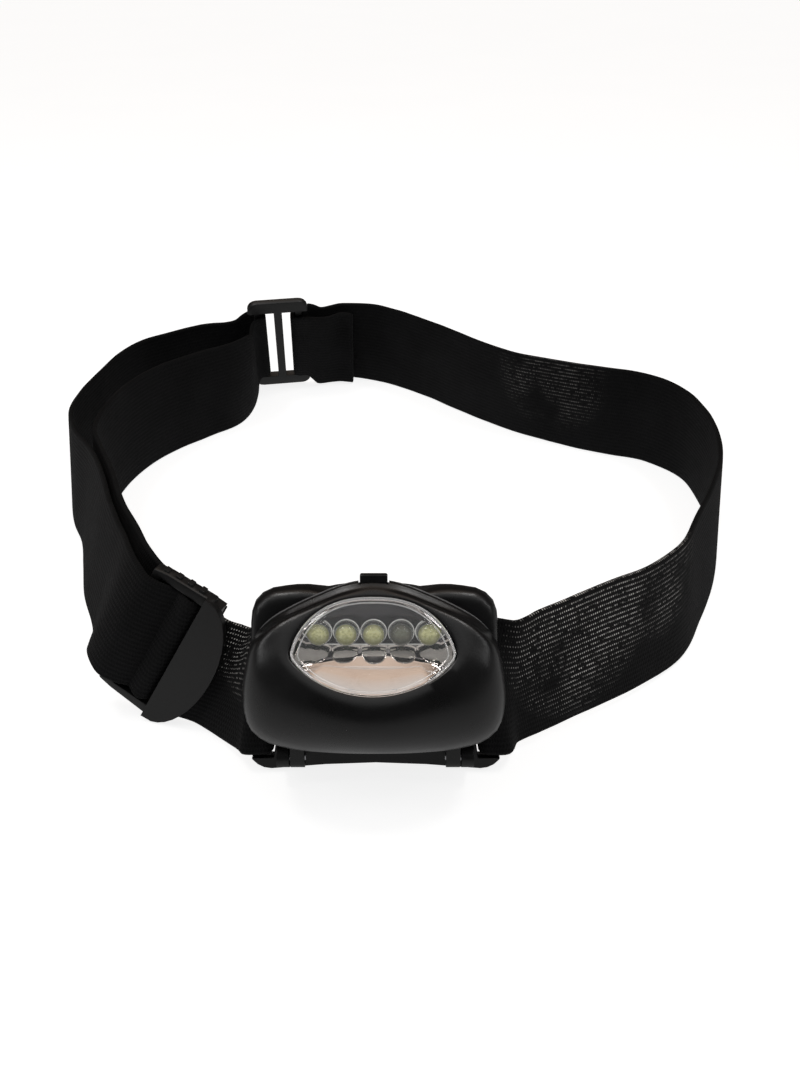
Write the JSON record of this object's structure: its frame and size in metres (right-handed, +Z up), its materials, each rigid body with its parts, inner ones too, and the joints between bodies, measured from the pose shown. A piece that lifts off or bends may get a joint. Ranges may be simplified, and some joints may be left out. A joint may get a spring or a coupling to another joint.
{
  "type": "headlamp",
  "caption": "Elastic-strap headlamp: tilting lamp head with an LED row behind a clear oval lens, push button, battery cover, buckle and slide adjuster.",
  "frame": {"origin": "on the base plate's back face, the face that rests on the forehead, midway across and 20.25 mm above its foot", "axes": "+X to the right seen from the front, -Y the way the lamp shines when level, +Z up as the strap loop stands on a table; the plate leans back 15 degrees from +Z"},
  "size_m": [0.2019, 0.2511, 0.0488],
  "materials": {
    "shell_plastic": "satin charcoal black, fine moulded grain",
    "frame_plastic": "semi-matte black",
    "webbing": "woven elastic with fine lengthwise ribs",
    "lens_clear": "clear polished",
    "reflector_metal": "bright metallised",
    "led_epoxy": "clear epoxy over a pale yellow phosphor",
    "steel": "plain steel",
    "contact_brass": "spring strip",
    "board_green": "solder mask green",
    "resistor_black": "matte black",
    "switch_plastic": "dark grey",
    "plunger_white": "white",
    "wire_red": "red insulation",
    "wire_black": "black insulation"
  },
  "bodies": {
    "base": {"base_plate": "frame_plastic", "hinge_pin_left": "steel", "hinge_pin_right": "steel", "strap_right": "webbing", "strap_loop": "webbing", "strap_short": "webbing", "ladder_buckle": "frame_plastic", "tri_glide": "frame_plastic"},
    "head": {"rear_housing": "shell_plastic", "front_shell": "shell_plastic", "lens": "lens_clear", "reflector": "reflector_metal", "led_1": "led_epoxy", "led_2": "led_epoxy", "led_3": "led_epoxy", "led_4": "led_epoxy", "led_5": "led_epoxy", "led_board": "board_green", "resistor_1": "resistor_black", "resistor_2": "resistor_black", "board_screw_left": "steel", "board_screw_right": "steel", "switch_body": "switch_plastic", "coin_cell_1": "steel", "coin_cell_2": "steel", "positive_clip": "contact_brass", "bridge_contact": "contact_brass", "negative_spring": "contact_brass", "wire_red": "wire_red", "wire_black": "wire_black"},
    "button": {"power_button": "shell_plastic"},
    "plunger": {"switch_plunger": "plunger_white"},
    "cover": {"battery_cover": "shell_plastic"}
  },
  "joints": [
    {"name": "head_tilt", "type": "hinge", "parent": "base", "child": "head", "pos_m": [0, -0.01014, -0.01349], "axis": [1, 0, 0], "range_deg": [0, 60]},
    {"name": "button_press", "type": "slide", "parent": "head", "child": "button", "axis": [0, -0.2588, -0.9659], "range_m": [0, 0.0006]},
    {"name": "plunger_press", "type": "slide", "parent": "head", "child": "plunger", "axis": [0, -0.2588, -0.9659], "range_m": [0, 0.0006]},
    {"name": "cover_slide", "type": "slide", "parent": "head", "child": "cover", "axis": [0, 0.2588, 0.9659], "range_m": [0, 0.035]}
  ],
  "couplings": [
    {"joint": "plunger_press", "follows": "button_press", "ratio": 1}
  ]
}
